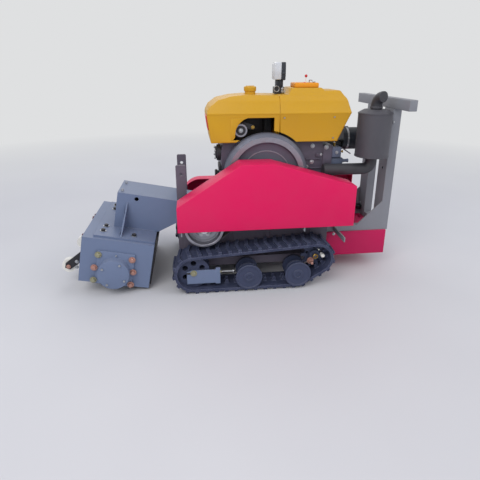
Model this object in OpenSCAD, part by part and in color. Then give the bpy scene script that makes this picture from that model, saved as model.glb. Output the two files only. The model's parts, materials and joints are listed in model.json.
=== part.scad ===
// Compact cold planer on rubber tracks: a single-cylinder diesel turns a milling drum on a hinged arm.
// X points forward, Y to the machine's left, Z up. The origin is on the floor under the middle.

/* [Tracks] */
// Gap between a side panel of the frame and its track
track_gap = 20; // [14:1:30]
// Width of one rubber track
track_w = 180; // [160:2:184]
// Distance from one lug to the next, before it is rounded to a whole count
track_pitch = 60; // [54:1:72]
// Thickness of the belt that carries the lugs
belt_h = 16; // [12:1:18]
// Height of a lug above the belt
lug_h = 14; // [8:1:16]
// Thickness of a lug along the track
lug_t = 20; // [14:1:26]
// How far a lug's ends trail behind its middle
lug_rake = 14; // [0:1:20]
// Height of a guide tooth inside the belt
guide_h = 26; // [16:1:28]
// Station of the front idler's axle
idler_x = 246; // [236:1:256]
// Radius to the lugs' tips round the front idler
idler_r = 130; // [126:1:134]
// Station of the rear sprocket's axle
sprocket_x = -519; // [-530:1:-512]
// Height of the rear sprocket's axle
sprocket_z = 192; // [186:1:198]
// Radius to the lugs' tips round the rear sprocket
sprocket_r = 117; // [112:1:120]
// Station of the rear bottom roller
rear_roller_x = -398; // [-405:1:-390]
// Station of the front bottom roller
front_roller_x = -91; // [-120:1:-60]
// Radius to the lugs' tips round the rear bottom roller
roller_r = 100; // [96:1:104]

/* [Frame] */
// Distance between the outer faces of the frame's side panels
frame_w = 460; // [440:2:466]
// Height of the frame's floor above the ground
frame_floor_z = 130; // [115:1:140]
// Height of the frame's deck above the ground
deck_z = 400; // [394:1:404]
// Thickness of the frame's plates
plate_t = 8; // [5:1:10]
// Front end of the side panels
frame_front_x = 300; // [294:1:306]
// Rear end of the side panels
frame_rear_x = -636; // [-640:1:-630]
// Height of the engine's rails above the deck
rail_h = 55; // [50:1:58]
// Top of the two masts beside the arm
mast_top_z = 751; // [700:1:800]
// Width of a mast along the machine
mast_w = 62; // [50:1:64]
// Radius of the pin hole in a mast
mast_hole_r = 10; // [6:0.5:14]

/* [Milling head] */
// Station of the cross shaft on which the head swings
pivot_x = 173; // [168:1:178]
// Height of the cross shaft
pivot_z = 401; // [398:1:404]
// Angle at which the head is parked above its working position
head_tilt = 11; // [8:1:13]
// Radius of the cross shaft
shaft_r = 25; // [20:1:30]
// Width of the arm's box
arm_w = 290; // [270:2:292]
// Thickness of the arm's plates
arm_t = 10; // [6:1:12]
// Distance from the pivot to the arm's front plate
arm_reach = 548; // [535:1:556]
// Height of the arm's top plate above the pivot
arm_top = 82; // [76:1:90]
// Depth of the arm's foot below the pivot
arm_foot = 145; // [140:1:150]
// Radius of the lifting hole in the arm's sides
arm_hole_r = 13; // [8:0.5:18]
// Width of the drum's housing
housing_w = 690; // [660:5:700]
// Thickness of the housing's side plates
housing_t = 12; // [8:1:14]
// Distance from the pivot to the housing's rear plate
housing_rear = 277; // [272:1:282]
// Distance from the pivot to the housing's front plate
housing_front = 699; // [690:1:706]
// Depth of the housing's lower edge below the pivot
housing_foot = 447; // [440:1:452]
// Distance from the pivot to the drum's axis along the arm
drum_u = 491; // [486:1:496]
// Height of the drum's axis above the housing's lower edge
drum_lift = 93; // [90:1:97]
// Radius of the drum's tube
drum_r = 92; // [80:1:96]
// Radius to the points of the picks
pick_r = 130; // [124:1:133]
// Number of pick rows along each half of the drum
pick_rows = 13; // [8:1:15]
// Radius of the drum's shaft
drum_shaft_r = 30; // [24:1:34]
// Radius of the depth wheels ahead of the housing
wheel_r = 44; // [38:1:48]

/* [Engine] */
// Station of the flywheel's axle
flywheel_x = -224; // [-228:1:-218]
// Height of the flywheel's axle
flywheel_z = 680; // [676:1:684]
// Radius of the flywheel
flywheel_r = 262; // [240:1:264]
// Thickness of the flywheel
flywheel_t = 66; // [50:1:68]
// Radius of the flywheel's belt pulley
drive_pulley_r = 80; // [70:1:84]
// Radius of the belt pulley on the cross shaft
front_pulley_r = 119; // [105:1:122]
// Width of the crankcase
engine_w = 300; // [280:2:300]
// Width of the hood over its crease
hood_w = 370; // [350:2:376]
// Height of the hood's crease
hood_crease_z = 1056; // [1050:1:1062]
// Radius of the muffler
muffler_r = 103; // [90:1:106]
// Height of the muffler's shell
muffler_h = 270; // [240:5:280]
// Radius of the exhaust pipe
pipe_r = 36; // [30:1:38]

/* [Guards and rear] */
// Width of the left belt guard
guard_w = 158; // [150:1:158]
// Thickness of the guards' sheet
guard_t = 4; // [2:0.5:5]
// Distance from the machine's middle to the guards' outer faces
guard_y = 400; // [396:1:410]
// Length of a rear post's section along the machine
post_l = 56; // [50:1:60]
// Width of a rear post's section
post_w = 115; // [100:1:116]
// Distance from the machine's middle to a post's outer face
post_y = 190; // [188:1:196]
// Thickness of a post's wall
post_t = 6; // [4:0.5:8]
// Top of the rear posts
post_top_z = 1074; // [1060:1:1090]
// Length of the crossbar on the posts
crossbar_w = 750; // [700:10:800]
// Height of the crossbar's section
crossbar_h = 64; // [50:1:70]
// Radius of the holes in the rear posts
post_hole_r = 10; // [6:0.5:14]

/* [Hidden] */

// Clearances
seat_gap = 0.3;
shaft_fit = 0.05;
side_gap = 5;

// Facets of the plain round forms
$fn = 48;
wrap_step = 12;

// Places worked out from the sizes above
idler_z = idler_r;
roller_z = roller_r;
panel_y = frame_w / 2;
track_y = panel_y + track_gap + track_w / 2;
drum_v = housing_foot - drum_lift;
cheek_y = arm_w / 2 + side_gap;
cheek_t = 12;
rail_top_z = deck_z + rail_h;
engine_top_z = 884;
hood_y = 20;
guard_inner_y = guard_y - guard_w;
belt_y = guard_inner_y + 84;
flywheel_y = guard_inner_y - 16 - flywheel_t;
post_front_x = -1016;
post_rear_x = post_front_x - post_l;
guard_foot_z = 395;
pump_x = -870;
pump_z = 440;
pump_belt_y = -(guard_y - 46);
right_pulley_r = 62;
pump_pulley_r = 55;

// Wheels of each loop, counter-clockwise as seen from the right: [x, z, radius]
TRACK_WHEELS = [[rear_roller_x, roller_z, roller_r], [idler_x, idler_z, idler_r],
    [sprocket_x, sprocket_z, sprocket_r]];
BELT_WHEELS = [[flywheel_x, flywheel_z, drive_pulley_r], [pivot_x, pivot_z, front_pulley_r]];
PUMP_WHEELS = [[pump_x, pump_z, pump_pulley_r], [pivot_x, pivot_z, right_pulley_r]];

// Outward direction of the taut run from wheel a to wheel b
function tangent(a, b) =
    atan2(b[1] - a[1], b[0] - a[0]) - acos((a[2] - b[2]) / norm([b[0] - a[0], b[1] - a[1]]));
function turn(from, to) = let (t = (to - from) % 360) t < 0 ? t + 360 : t;
function next(ws, i) = ws[(i + 1) % len(ws)];
function prev(ws, i) = ws[(i + len(ws) - 1) % len(ws)];
function wrap_start(ws, i) = tangent(prev(ws, i), ws[i]);
function wrap_turn(ws, i) = turn(wrap_start(ws, i), tangent(ws[i], next(ws, i)));

// Point at a distance from a wheel's centre: [x, z]
function polar(w, r, a) = [w[0] + r * cos(a), w[1] + r * sin(a)];

// Outline of a loop, moved outward by d
function loop_outline(ws, d) = [for (i = [0:len(ws) - 1])
    let (a0 = wrap_start(ws, i), sweep = wrap_turn(ws, i), n = ceil(sweep / wrap_step))
    for (k = [0:n]) polar(ws[i], ws[i][2] + d, a0 + sweep * k / n)];

// Lengths of the wrap round wheel i and of the run that follows it
function wrap_len(ws, i, d) = (ws[i][2] + d) * wrap_turn(ws, i) * PI / 180;
function run_len(ws, i) =
    let (a = ws[i], b = next(ws, i))
    sqrt(pow(b[0] - a[0], 2) + pow(b[1] - a[1], 2) - pow(a[2] - b[2], 2));
function loop_len(ws, d, i = 0) =
    i == len(ws) ? 0 : wrap_len(ws, i, d) + run_len(ws, i) + loop_len(ws, d, i + 1);

// Place at distance s along a loop: [x, z, outward direction]
function station(ws, d, s, i = 0) =
    let (wrap = wrap_len(ws, i, d), run = run_len(ws, i), a0 = wrap_start(ws, i),
        a1 = a0 + wrap_turn(ws, i), w = ws[i], r = w[2] + d)
    s < wrap ? concat(polar(w, r, a0 + (a1 - a0) * s / wrap), [a0 + (a1 - a0) * s / wrap])
    : s < wrap + run || i == len(ws) - 1
        ? concat(polar(w, r, a1) + (s - wrap) * [-sin(a1), cos(a1)], [a1])
    : station(ws, d, s - wrap - run, i + 1);

// Points along an arc round a centre
function arc(c, r, a0, a1, n = 8) = [for (k = [0:n]) polar(c, r, a0 + (a1 - a0) * k / n)];

// A convex outline, counter-clockwise, with each side moved inward by d
function inset(pts, d) = [for (i = [0:len(pts) - 1])
    let (p = pts[i], a = p - prev(pts, i), b = next(pts, i) - p,
        m = [-a[1], a[0]] / norm(a), n = [-b[1], b[0]] / norm(b))
    p + (m + n) * d / (1 + m * n)];

// Radius of a wheel that lies inside a loop's faceted wrap
function under_wrap(r) = r * cos(wrap_step / 2) - seat_gap;

// A plate cut to an outline in the XZ plane, between two stations across the machine
module cut_xz(outline, y0, y1) {
    translate([0, y1, 0]) rotate([90, 0, 0]) linear_extrude(y1 - y0) polygon(outline);
}

// A plate cut to an outline in the YZ plane, between two stations along the machine
module cut_yz(outline, x0, x1) {
    translate([x0, 0, 0]) rotate([90, 0, 90]) linear_extrude(x1 - x0) polygon(outline);
}

// A block between two values on each axis
module block(x, y, z) {
    translate([x[0], y[0], z[0]]) cube([x[1] - x[0], y[1] - y[0], z[1] - z[0]]);
}

// A round bar along Y at a place in the XZ plane
module bar_y(r, y, at = [0, 0]) {
    translate([at[0], y[1], at[1]]) rotate([90, 0, 0]) cylinder(h = y[1] - y[0], r = r);
}

// A round bar along X at a place in the YZ plane
module bar_x(r, x, at = [0, 0]) {
    translate([x[0], at[0], at[1]]) rotate([0, 90, 0]) cylinder(h = x[1] - x[0], r = r);
}

module both_sides() {
    children();
    mirror([0, 1, 0]) children();
}

// Puts a piece drawn round the cross shaft, with the arm level, at its parked angle
module on_head() {
    translate([pivot_x, 0, pivot_z]) rotate([0, -head_tilt, 0]) children();
}

// A ring that follows a loop
module loop_ring(ws, outer, inner, y0, y1) {
    difference() {
        cut_xz(loop_outline(ws, outer), y0, y1);
        cut_xz(loop_outline(ws, inner), y0 - 1, y1 + 1);
    }
}

// Tracks
belt_outer = -lug_h;
belt_inner = -lug_h - belt_h;
track_count = round(loop_len(TRACK_WHEELS, belt_outer) / track_pitch);
track_step = loop_len(TRACK_WHEELS, belt_outer) / track_count;
lug_sink = 4;
lug_half_w = track_w / 2 - 6;
guide_y = 11;
guide_t = 16;
guide_foot = 30;
guide_top = 14;

module lug() {
    trail = lug_rake / 2;
    translate([0, 0, -lug_sink]) linear_extrude(lug_h + lug_sink)
        polygon([[-lug_t / 2 + trail, 0], [-lug_t / 2 - trail, -lug_half_w],
            [lug_t / 2 - trail, -lug_half_w], [lug_t / 2 + trail, 0],
            [lug_t / 2 - trail, lug_half_w], [-lug_t / 2 - trail, lug_half_w]]);
}

module guide_tooth() {
    foot_z = -belt_h + 1;
    cut_xz([[-guide_foot / 2, foot_z], [-guide_top / 2, -belt_h - guide_h],
        [guide_top / 2, -belt_h - guide_h], [guide_foot / 2, foot_z]], guide_y, guide_y + guide_t);
}

module track() {
    translate([0, track_y, 0]) {
        loop_ring(TRACK_WHEELS, belt_outer, belt_inner, -track_w / 2, track_w / 2);
        for (i = [0:track_count - 1]) {
            at = station(TRACK_WHEELS, belt_outer, i * track_step);
            translate([at[0], 0, at[1]]) rotate([0, 90 - at[2], 0]) {
                lug();
                both_sides() guide_tooth();
            }
        }
    }
}

module track_left() {
    color("#232326") track();
}

module track_right() {
    color("#232326") mirror([0, 1, 0]) track();
}

// Wheels inside the tracks
flange_y = guide_y + guide_t + 4;
flange_t = 24;
axle_r = 16;
beam_z = 118;
beam_h = 52;
beam_rear_x = sprocket_x + 62;

module running_wheel(r, hub_r) {
    both_sides() {
        bar_y(r, [flange_y, flange_y + flange_t - 6]);
        bar_y(hub_r, [flange_y - 2, flange_y + flange_t]);
    }
    bar_y(hub_r, [-flange_y, flange_y]);
}

module idler() {
    r = under_wrap(idler_r + belt_inner);
    spokes = 6;
    difference() {
        union() {
            both_sides() bar_y(r, [flange_y, flange_y + flange_t - 6]);
            bar_y(r - guide_h - 6, [-flange_y, flange_y]);
            both_sides() bar_y(28, [flange_y, flange_y + flange_t]);
        }
        for (k = [0:spokes - 1])
            bar_y(17, [-track_w, track_w], polar([0, 0], r * 0.6, (k + 0.5) * 360 / spokes));
        bar_y(axle_r + shaft_fit, [-track_w, track_w]);
    }
}

module idlers() {
    color("#3a3a3f") both_sides() translate([idler_x, track_y, idler_z]) idler();
}

sprocket_teeth = 10;
sprocket_hub_r = 34;
tooth_h = 24;

// Outline of a toothed disc, from a foot beside each tooth over its flat tip
function toothed(root_r, tip_r, n) = [for (k = [0:n - 1], s = [[-10, 0], [-4, 1], [4, 1], [10, 0]])
    polar([0, 0], s[1] == 1 ? tip_r : root_r, k * 360 / n + s[0])];

module sprocket() {
    r = under_wrap(sprocket_r + belt_inner);
    root_r = r - tooth_h;
    tooth_w = 2 * guide_y - 4;
    difference() {
        union() {
            cut_xz(toothed(root_r, r, sprocket_teeth), -tooth_w / 2, tooth_w / 2);
            bar_y(sprocket_hub_r, [-guide_y - 30, guide_y + 16]);
        }
        for (k = [0:4]) bar_y(9, [-track_w, track_w], polar([0, 0], root_r * 0.78, k * 72 + 18));
        bar_y(axle_r + shaft_fit, [-track_w, track_w]);
    }
}

module sprockets() {
    color("#36363b") both_sides() translate([sprocket_x, track_y, sprocket_z]) sprocket();
}

module track_rollers() {
    r = under_wrap(roller_r + belt_inner);
    color("#333338") both_sides() for (x = [front_roller_x, rear_roller_x])
        translate([x, track_y, roller_z]) difference() {
            running_wheel(r, 26);
            bar_y(axle_r + shaft_fit, [-track_w, track_w]);
        }
}

module track_beams() {
    color("#4a4a50") both_sides() {
        block([beam_rear_x, idler_x - 106], [panel_y + 6, track_y - flange_y - flange_t - 4],
            [beam_z, beam_z + beam_h]);
        for (x = [front_roller_x, rear_roller_x]) {
            bar_y(axle_r, [track_y - flange_y - flange_t - 4, track_y + flange_y + flange_t + 6], [x, roller_z]);
            block([x - 40, x + 40], [panel_y, panel_y + 6], [beam_z, beam_z + beam_h]);
        }
        bar_y(axle_r, [track_y - flange_y - flange_t - 4, track_y + flange_y + flange_t + 6], [idler_x, idler_z]);
        block([idler_x - 107, idler_x + 26], [track_y - flange_y - flange_t - 12, track_y - flange_y - flange_t - 4],
            [beam_z, beam_z + beam_h]);
    }
}

// Adjusting plate on the outer side of each idler
module tensioner() {
    y0 = track_y + flange_y + flange_t + 1;
    plate = [[idler_x - 162, 52], [idler_x - 162, 160], [idler_x - 134, 160], [idler_x - 134, 148],
        [idler_x + 8, 148], [idler_x + 42, 138], [idler_x + 42, 58], [idler_x - 134, 58], [idler_x - 134, 52]];
    difference() {
        cut_xz(plate, y0, y0 + 8);
        bar_y(axle_r + seat_gap, [y0 - 1, y0 + 9], [idler_x, idler_z]);
    }
}

module tensioners() {
    color("#8c8f96") both_sides() tensioner();
}

module drive_motors() {
    color("#3d3d42") both_sides() {
        bar_y(58, [panel_y, track_y - guide_y - 34], [sprocket_x, sprocket_z]);
        bar_y(axle_r, [track_y - guide_y - 34, track_y + guide_y + 30], [sprocket_x, sprocket_z]);
    }
}

// Main frame
cheek_rear_x = 60;
cheek_front_x = 335;
bearing_r = 50;
bearing_y = cheek_y + cheek_t + 34;
lift_foot = [133, 176];
lift_pin_r = 12;
lift_lug_y = 22;
lift_lug_t = 12;
rail_y = 95;
rail_w = 50;

module cheek() {
    foot_z = frame_floor_z + plate_t;
    outline = concat([[cheek_rear_x, foot_z], [cheek_front_x, foot_z],
        [cheek_front_x, deck_z + 40]], arc([pivot_x, pivot_z], bearing_r + 28, 40, 140, 6),
        [[cheek_rear_x, deck_z + 20]]);
    difference() {
        cut_xz(outline, cheek_y, cheek_y + cheek_t);
        bar_y(shaft_r + shaft_fit, [cheek_y - 1, cheek_y + cheek_t + 1], [pivot_x, pivot_z]);
    }
    difference() {
        bar_y(bearing_r, [cheek_y + cheek_t, bearing_y], [pivot_x, pivot_z]);
        bar_y(shaft_r + shaft_fit, [cheek_y, bearing_y + 1], [pivot_x, pivot_z]);
    }
}

module main_frame() {
    inner_y = panel_y - plate_t;
    color("#55555c") {
        both_sides() {
            difference() {
                block([frame_rear_x, frame_front_x], [inner_y, panel_y], [frame_floor_z, deck_z]);
                bar_y(shaft_r + side_gap, [inner_y - 1, panel_y + 1], [pivot_x, pivot_z]);
            }
            block([frame_front_x - plate_t, frame_front_x], [cheek_y + cheek_t, inner_y], [frame_floor_z, deck_z]);
            block([frame_rear_x + 30, cheek_rear_x], [rail_y, rail_y + rail_w], [deck_z, rail_top_z]);
            for (x = [14, -221, -489])
                block([x - 4, x + 4], [panel_y, panel_y + 4], [sprocket_z + 70, deck_z]);
        }
        block([frame_rear_x, frame_front_x], [-inner_y, inner_y], [frame_floor_z, frame_floor_z + plate_t]);
        block([frame_rear_x, cheek_rear_x], [-inner_y, inner_y], [deck_z - plate_t, deck_z]);
        block([frame_rear_x, frame_rear_x + plate_t], [-inner_y, inner_y], [frame_floor_z, deck_z]);
        block([cheek_rear_x - plate_t, cheek_rear_x], [-inner_y, inner_y], [frame_floor_z, deck_z]);
    }
}

module front_cheeks() {
    color("#55555c") both_sides() {
        cheek();
        difference() {
            cut_xz(concat([[lift_foot[0] - 30, frame_floor_z + plate_t]],
                [[lift_foot[0] + 30, frame_floor_z + plate_t]], arc(lift_foot, 26, 0, 180, 8)),
                lift_lug_y, lift_lug_y + lift_lug_t);
            bar_y(lift_pin_r + shaft_fit, [0, lift_lug_y + lift_lug_t + 1], lift_foot);
        }
    }
}

module front_masts() {
    hole = [mast_x, mast_top_z - 57];
    color("#5b5d66") both_sides() difference() {
        cut_xz([[mast_x - mast_w / 2, deck_z + 2], [mast_x + mast_w / 2, deck_z + 2],
            [mast_x + mast_w / 2, mast_top_z - 6], [mast_x + mast_w / 2 - 6, mast_top_z],
            [mast_x - mast_w / 2 + 6, mast_top_z], [mast_x - mast_w / 2, mast_top_z - 6]],
            cheek_y + cheek_t, cheek_y + cheek_t + 14);
        bar_y(mast_hole_r, [0, panel_y], hole);
    }
}
mast_x = 301;

// Rear deck, posts and tank
deck_rail_z = 275;
deck_rail_top = 315;
deck_rail_y = post_y - 40;

module rear_deck() {
    color("#66676c") {
        both_sides() {
            block([post_rear_x, frame_rear_x], [deck_rail_y, post_y], [deck_rail_z, deck_rail_top]);
            cut_xz([[post_front_x, deck_rail_top], [post_front_x + 165, deck_rail_top],
                [post_front_x, deck_rail_top + 160]], post_y - 8, post_y);
        }
        block([post_rear_x, post_front_x], [-deck_rail_y, deck_rail_y], [deck_rail_z, deck_rail_top]);
        block([-780, -740], [-deck_rail_y, deck_rail_y], [deck_rail_z, deck_rail_top]);
    }
}

module rear_posts() {
    post_x = [post_rear_x, post_front_x];
    color("#6f7074") both_sides() difference() {
        block(post_x, [post_y - post_w, post_y], [deck_rail_top, post_top_z]);
        block([post_rear_x + post_t, post_front_x - post_t], [post_y - post_w + post_t, post_y - post_t],
            [deck_rail_top - 1, post_top_z + 1]);
        bar_x(post_hole_r, [post_rear_x - 1, post_front_x + 1], [post_y - post_w / 2, 690]);
    }
}

module rear_crossbar() {
    color("#6f7074") difference() {
        block([post_rear_x + 5, post_front_x - 2], [-crossbar_w / 2, crossbar_w / 2],
            [post_top_z, post_top_z + crossbar_h]);
        block([post_rear_x + 9, post_front_x - 6], [-crossbar_w / 2 - 1, crossbar_w / 2 - 4],
            [post_top_z + 4, post_top_z + crossbar_h - 4]);
    }
}

tank_front_x = frame_rear_x - 4;
tank_rear_x = -1062;

module rear_tank() {
    slot_x = -985;
    color("#c4004f") difference() {
        block([tank_rear_x, tank_front_x], [-200, 200], [105, deck_rail_z]);
        block([slot_x - 9, slot_x + 9], [-130, -60], [deck_rail_z - 45, deck_rail_z + 1]);
    }
}

// Guards
LEFT_GUARD = [[330, guard_foot_z], [330, 548], [-47, 792], [-240, 792], [-743, 647], [-743, guard_foot_z]];
LEFT_HOLLOW = [[330, guard_foot_z - 60], [330, 548], [-47, 792], [-240, 792], [-743, 647],
    [-743, guard_foot_z - 60]];

module belt_guard_left() {
    color("#d8005a") difference() {
        cut_xz(LEFT_GUARD, guard_inner_y, guard_y);
        cut_xz(inset(LEFT_HOLLOW, guard_t), guard_inner_y - 1, guard_y - guard_t);
    }
}

right_guard_r = 135;
right_guard_foot = 325;
right_guard_rear_x = -1000;
right_guard_w = 90;

function right_outline(r, foot, rear) = let (dip = asin((foot - pivot_z) / r))
    concat([[rear, foot]], arc([pivot_x, pivot_z], r, dip, 90, 14), [[rear, pivot_z + r]]);

module belt_guard_right() {
    color("#d8005a") mirror([0, 1, 0]) difference() {
        cut_xz(right_outline(right_guard_r, right_guard_foot, right_guard_rear_x),
            guard_y - right_guard_w, guard_y);
        cut_xz(right_outline(right_guard_r - guard_t, right_guard_foot + guard_t,
            right_guard_rear_x + guard_t), guard_y - right_guard_w - 1, guard_y - guard_t);
    }
}

module guard_brackets() {
    color("#77797f") {
        for (x = [304, -440]) block([x, x + 8], [panel_y, guard_y - guard_t], [deck_z - 30, deck_z]);
        block([-700, -692], [post_y, guard_y - guard_t], [deck_rail_z + 10, deck_rail_top]);
        for (x = [262, -440]) block([x, x + 8], [-(guard_y - guard_t), -panel_y], [deck_z - 30, deck_z]);
        block([-990, -982], [-(guard_y - guard_t), -post_y], [deck_rail_top - 20, deck_rail_top]);
    }
}

// Belt drives
belt_pitch = 19;
belt_top_w = 16;

module drive_belts() {
    color("#1e1e20") for (k = [-1:1]) {
        y = belt_y + k * belt_pitch;
        loop_ring(BELT_WHEELS, seat_gap + 3, seat_gap * 3, y - belt_top_w / 2, y + belt_top_w / 2);
    }
}

module pump_belt() {
    color("#1e1e20") loop_ring(PUMP_WHEELS, seat_gap + 3, seat_gap * 3, pump_belt_y - 10, pump_belt_y + 10);
}

pulley_half_w = 34;

module front_pulley() {
    color("#8a8c92") {
        difference() {
            union() {
                bar_y(front_pulley_r, [belt_y - pulley_half_w, belt_y + pulley_half_w], [pivot_x, pivot_z]);
            }
            bar_y(front_pulley_r - 16, [belt_y - 14, belt_y + pulley_half_w + 1], [pivot_x, pivot_z]);
            bar_y(shaft_r + seat_gap, [0, guard_y], [pivot_x, pivot_z]);
        }
        difference() {
            bar_y(48, [belt_y - 15, belt_y + pulley_half_w], [pivot_x, pivot_z]);
            bar_y(shaft_r + seat_gap, [0, guard_y], [pivot_x, pivot_z]);
        }
    }
}

module cross_shaft() {
    color("#9a9da3") {
        bar_y(shaft_r, [-(guard_y - 20), guard_y - 20], [pivot_x, pivot_z]);
        difference() {
            bar_y(right_pulley_r, [pump_belt_y - 14, pump_belt_y + 14], [pivot_x, pivot_z]);
            bar_y(shaft_r - 1, [pump_belt_y - 20, pump_belt_y + 20], [pivot_x, pivot_z]);
        }
    }
}

module hydraulic_pump() {
    color("#4b4d54") {
        bar_y(52, [-280, -150], [pump_x, pump_z]);
        bar_y(14, [-360, -280], [pump_x, pump_z]);
        block([pump_x - 60, pump_x + 60], [-post_y + 12, -deck_rail_y], [deck_rail_top, pump_z - 40]);
    }
}

module pump_pulley() {
    color("#8a8c92") difference() {
        bar_y(pump_pulley_r, [pump_belt_y - 14, pump_belt_y + 14], [pump_x, pump_z]);
        bar_y(14 + shaft_fit, [pump_belt_y - 20, pump_belt_y + 20], [pump_x, pump_z]);
    }
}

// Engine
module crankcase() {
    half = engine_w / 2;
    outline = [[-390, rail_top_z], [40, rail_top_z], [50, 520], [50, 826], [36, engine_top_z],
        [-390, engine_top_z]];
    color("#4d4650") difference() {
        cut_xz(outline, -half, half);
        bar_y(30 + shaft_fit, [half - 40, half + 1], [flywheel_x, flywheel_z]);
    }
}

module cylinder_block() {
    color("#4d4650") {
        block([-600, -390], [-130, 140], [560, engine_top_z]);
        block([-660, -600], [-110, 150], [600, 850]);
        block([-598, -392], [-100, 100], [rail_top_z, 560]);
    }
}

module injection_pump() {
    color("#5d6474") {
        block([-720, -660], [60, 150], [770, 836]);
        bar_x(28, [-700, -660], [120, 700]);
    }
}

HOOD_SIDE_FRONT = [[112, 884], [133, 1040], [130, 1060], [112, 1096], [62, 1134], [-20, 1153], [-110, 1160],
    [-305, 1160], [-305, 884]];
HOOD_SIDE_REAR = [[-305, 884], [-305, 1160], [-366, 1160], [-388, 1198], [-575, 1198], [-590, 1182],
    [-690, 1182], [-722, 1140], [-745, 1060], [-745, 1052], [-668, 884]];

HOOD_SECTION = [[-hood_w / 2 + 8, 800], [hood_w / 2 - 8, 800],
    [hood_w / 2 - 4, hood_crease_z - 8], [hood_w / 2, hood_crease_z], [hood_w / 2 - 8, hood_crease_z + 10],
    [hood_w / 2 - 24, 1128], [hood_w / 2 - 60, 1156], [hood_w / 2 - 90, 1220],
    [-hood_w / 2 + 90, 1220], [-hood_w / 2 + 60, 1156], [-hood_w / 2 + 24, 1128],
    [-hood_w / 2 + 8, hood_crease_z + 10], [-hood_w / 2, hood_crease_z], [-hood_w / 2 + 4, hood_crease_z - 8]];

module hood_form(side) {
    intersection() {
        cut_xz(side, -hood_w, hood_w);
        translate([0, hood_y, 0]) cut_yz(HOOD_SECTION, -1000, 400);
    }
}

module hood_shell(side) {
    difference() {
        hood_form(side);
        translate([0, hood_y, 0]) block([-739, -309], [-hood_w / 2 + 14, hood_w / 2 - 14], [800, 1050]);
        translate([0, hood_y, 0]) block([-300, 106], [-hood_w / 2 + 14, hood_w / 2 - 14], [888, 1050]);
        bar_y(flywheel_r + 14, [guard_inner_y - 90, guard_inner_y + 40], [flywheel_x, flywheel_z]);
    }
}

module hood_front() {
    color("#cf9a1c") difference() {
        hood_shell(HOOD_SIDE_FRONT);
        block([-270, -10], [100, 300], [900, 1030]);
    }
}

module hood_rear() {
    color("#cf9a1c") hood_shell(HOOD_SIDE_REAR);
}

module fuel_cap() {
    color("#cf9a1c") translate([-142, 50, 1160]) cylinder(h = 60, r = 38);
}

module radiator_lid() {
    color("#e89a10") block([-560, -410], [-20, 110], [1198, 1226]);
}

module radiator_core() {
    color("#2b2b2e") block([-520, -310], [-150.7, 150], [engine_top_z, 1040]);
}

module dynamo() {
    color("#38383c") {
        bar_y(45, [40, 150], [-70, 955]);
        block([-90, -50], [60, 140], [888, 920]);
        bar_y(28, [150, 180], [-70, 955]);
    }
}

module air_cleaner() {
    color("#2c3038") {
        bar_x(72, [-870, -760], [0, 868]);
        bar_x(30, [-760, -660], [0, 830]);
    }
}

muffler_x = -899;
muffler_y = 200;
muffler_z = 785;
pipe_z = 705;
pipe_bend = 46;

module exhaust_pipe() {
    color("#35353a") {
        bar_x(pipe_r, [muffler_x + pipe_bend, -590], [muffler_y, pipe_z]);
        bar_y(pipe_r - 6, [150, muffler_y], [-628, pipe_z]);
        translate([muffler_x + pipe_bend, muffler_y, pipe_z + pipe_bend]) rotate([90, 0, 0])
            rotate_extrude(angle = 90, start = 180) translate([pipe_bend, 0]) circle(r = pipe_r);
        translate([muffler_x, muffler_y, pipe_z + pipe_bend])
            cylinder(h = muffler_z - pipe_z - pipe_bend, r = pipe_r);
    }
}

module muffler() {
    color("#4f4e52") translate([muffler_x, muffler_y, muffler_z]) {
        cylinder(h = muffler_h, r = muffler_r);
        translate([0, 0, muffler_h]) cylinder(h = 18, r1 = muffler_r, r2 = muffler_r - 30);
    }
}

module tail_pipe() {
    top_z = muffler_z + muffler_h + 18;
    color("#3c3b3f") translate([muffler_x, muffler_y, top_z]) rotate([0, 0, 110]) {
        cylinder(h = 24, r = 33);
        translate([52, 0, 24]) rotate([90, 0, 0])
            rotate_extrude(angle = 90, start = 90) translate([52, 0]) circle(r = 33);
    }
}

module lamp_stand() {
    color("#2d2d30") block([-360, -300], [-30, 30], [1160, 1200]);
}

module work_lamp() {
    color("#b9bcc2") block([-365, -295], [-45, 45], [1200, 1345]);
}

module flywheel() {
    color("#6f6a78") difference() {
        union() {
            bar_y(flywheel_r, [flywheel_y, flywheel_y + flywheel_t], [flywheel_x, flywheel_z]);
            bar_y(drive_pulley_r, [flywheel_y + flywheel_t, belt_y + pulley_half_w], [flywheel_x, flywheel_z]);
        }
        difference() {
            bar_y(155, [flywheel_y + flywheel_t - 24, flywheel_y + flywheel_t + 1], [flywheel_x, flywheel_z]);
            bar_y(drive_pulley_r, [flywheel_y, belt_y], [flywheel_x, flywheel_z]);
        }
    }
}

// Milling head, drawn with the pivot at the origin and the arm level
rod_eye = [211, -83];

module arm_sides() {
    half = arm_w / 2;
    outline = concat([[arm_reach, -arm_foot], [arm_reach, arm_top]], arc([0, 0], arm_top, 90, 250, 10),
        [[164, -68], [269, -arm_foot]]);
    color("#7b8698") on_head() both_sides() difference() {
        union() {
            cut_xz(outline, half - arm_t, half);
            bar_y(bearing_r - 4, [half - arm_t - 30, cheek_y - seat_gap]);
        }
        bar_y(shaft_r + shaft_fit, [0, half + side_gap + 1]);
        bar_y(arm_hole_r, [0, half + 1], [429, 54]);
    }
}

module arm_plates() {
    inner = arm_w / 2 - arm_t;
    color("#7b8698") on_head() {
        block([0, arm_reach], [-inner, inner], [arm_top - arm_t, arm_top]);
        block([arm_reach - arm_t, arm_reach], [-inner, inner], [-arm_foot, arm_top - arm_t]);
        block([269, arm_reach - arm_t], [-inner, inner], [-arm_foot, -arm_foot + arm_t]);
        both_sides() cut_xz(concat([[rod_eye[0] + 24, arm_top - arm_t], [rod_eye[0] - 24, arm_top - arm_t]],
            arc(rod_eye, 24, 180, 360, 8)), lift_lug_y, lift_lug_y + lift_lug_t);
        bar_y(lift_pin_r - 2, [-lift_lug_y, lift_lug_y], rod_eye);
    }
}

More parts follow.
